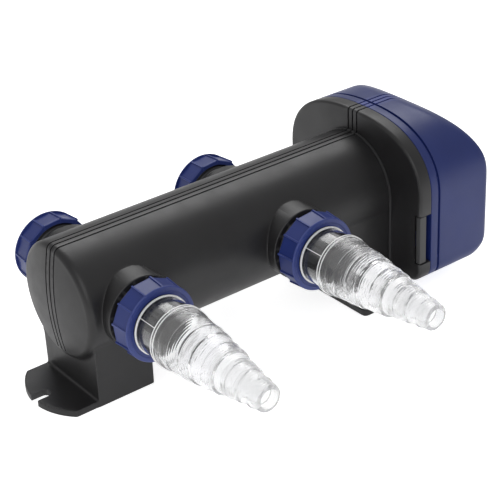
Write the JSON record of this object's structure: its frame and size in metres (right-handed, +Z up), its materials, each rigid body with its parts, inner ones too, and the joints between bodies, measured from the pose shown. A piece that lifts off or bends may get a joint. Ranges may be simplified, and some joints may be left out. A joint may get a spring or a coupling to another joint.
{
  "type": "uv clarifier",
  "caption": "Pond UV clarifier: black water chamber on feet with stepped clear hose tails in blue union nuts, blanked rear unions and a blue lamp head.",
  "frame": {"origin": "underside of the near foot, on the mid-plane, where its mounting tab meets the pedestal", "axes": "+X along the chamber towards the head, -Y the side of the hose tails, +Z up"},
  "size_m": [0.3809, 0.264, 0.134],
  "materials": {
    "chamber_black": "satin moulded plastic with a fine texture",
    "union_blue": "satin-gloss moulded plastic",
    "cover_blue": "satin moulded plastic",
    "clear_plastic": "clear moulded plastic",
    "quartz_glass": "polished",
    "lamp_glass": "polished",
    "ceramic_white": "matte",
    "grey_plastic": "matte",
    "seal_rubber": "matte",
    "stainless_steel": "turned"
  },
  "bodies": {
    "chamber": {"body_shell": "chamber_black", "head_base": "chamber_black", "head_o_ring": "seal_rubber", "quartz_sleeve": "quartz_glass", "sleeve_seal": "seal_rubber", "front_latch_pin": "stainless_steel", "rear_latch_pin": "stainless_steel", "base_screw_1": "stainless_steel", "base_screw_2": "stainless_steel", "inlet_front_seal": "seal_rubber", "inlet_rear_seal": "seal_rubber", "outlet_front_seal": "seal_rubber", "outlet_rear_seal": "seal_rubber", "inlet_blanking_plug": "union_blue", "outlet_blanking_plug": "union_blue"},
    "inlet_nut": {"inlet_union_nut": "union_blue"},
    "outlet_nut": {"outlet_union_nut": "union_blue"},
    "inlet_tail": {"inlet_hose_tail": "clear_plastic"},
    "outlet_tail": {"outlet_hose_tail": "clear_plastic"},
    "inlet_cap_nut": {"inlet_rear_nut": "union_blue"},
    "outlet_cap_nut": {"outlet_rear_nut": "union_blue"},
    "front_catch": {"front_latch": "chamber_black"},
    "rear_catch": {"rear_latch": "chamber_black"},
    "sleeve_lock": {"sleeve_nut": "grey_plastic"},
    "head": {"head_ring": "cover_blue", "lamp_socket": "ceramic_white", "lamp_holder": "grey_plastic", "ballast": "grey_plastic", "cover_screw_1": "stainless_steel", "cover_screw_2": "stainless_steel", "cover_screw_3": "stainless_steel", "cover_screw_4": "stainless_steel"},
    "lamp": {"uv_lamp": "lamp_glass", "lamp_base": "ceramic_white"},
    "cover": {"head_cover": "cover_blue", "cable_gland": "chamber_black"},
    "gland_clamp": {"gland_nut": "chamber_black"}
  },
  "joints": [
    {"name": "inlet_nut_turn", "type": "hinge", "parent": "chamber", "child": "inlet_nut", "pos_m": [0.0315, -0.0645, 0.0725], "axis": [0, -1, 0], "continuous": true},
    {"name": "inlet_tail_swivel", "type": "hinge", "parent": "chamber", "child": "inlet_tail", "pos_m": [0.0315, -0.12, 0.0725], "axis": [0, -1, 0], "continuous": true},
    {"name": "inlet_cap_nut_turn", "type": "hinge", "parent": "chamber", "child": "inlet_cap_nut", "pos_m": [0.0315, 0.0645, 0.0725], "axis": [0, 1, 0], "continuous": true},
    {"name": "outlet_nut_turn", "type": "hinge", "parent": "chamber", "child": "outlet_nut", "pos_m": [0.1722, -0.0645, 0.0725], "axis": [0, -1, 0], "continuous": true},
    {"name": "outlet_tail_swivel", "type": "hinge", "parent": "chamber", "child": "outlet_tail", "pos_m": [0.1722, -0.12, 0.0725], "axis": [0, -1, 0], "continuous": true},
    {"name": "outlet_cap_nut_turn", "type": "hinge", "parent": "chamber", "child": "outlet_cap_nut", "pos_m": [0.1722, 0.0645, 0.0725], "axis": [0, 1, 0], "continuous": true},
    {"name": "front_latch_swing", "type": "hinge", "parent": "chamber", "child": "front_catch", "pos_m": [0.2666, -0.072, 0.0495], "axis": [0, 0, -1], "range_deg": [0, 75]},
    {"name": "rear_latch_swing", "type": "hinge", "parent": "chamber", "child": "rear_catch", "pos_m": [0.2666, 0.072, 0.0495], "axis": [0, 0, 1], "range_deg": [0, 75]},
    {"name": "sleeve_nut_turn", "type": "hinge", "parent": "chamber", "child": "sleeve_lock", "pos_m": [0.2835, 0, 0.0725], "axis": [1, 0, 0], "continuous": true},
    {"name": "head_pull", "type": "slide", "parent": "chamber", "child": "head", "axis": [1, 0, 0], "range_m": [0, 0.265]},
    {"name": "lamp_unplug", "type": "slide", "parent": "head", "child": "lamp", "axis": [-1, 0, 0], "range_m": [0, 0.008]},
    {"name": "cover_off", "type": "slide", "parent": "head", "child": "cover", "axis": [1, 0, 0], "range_m": [0, 0.06]},
    {"name": "gland_nut_turn", "type": "hinge", "parent": "cover", "child": "gland_clamp", "pos_m": [0.3429, 0.042, 0.062], "axis": [1, 0, 0], "continuous": true}
  ]
}
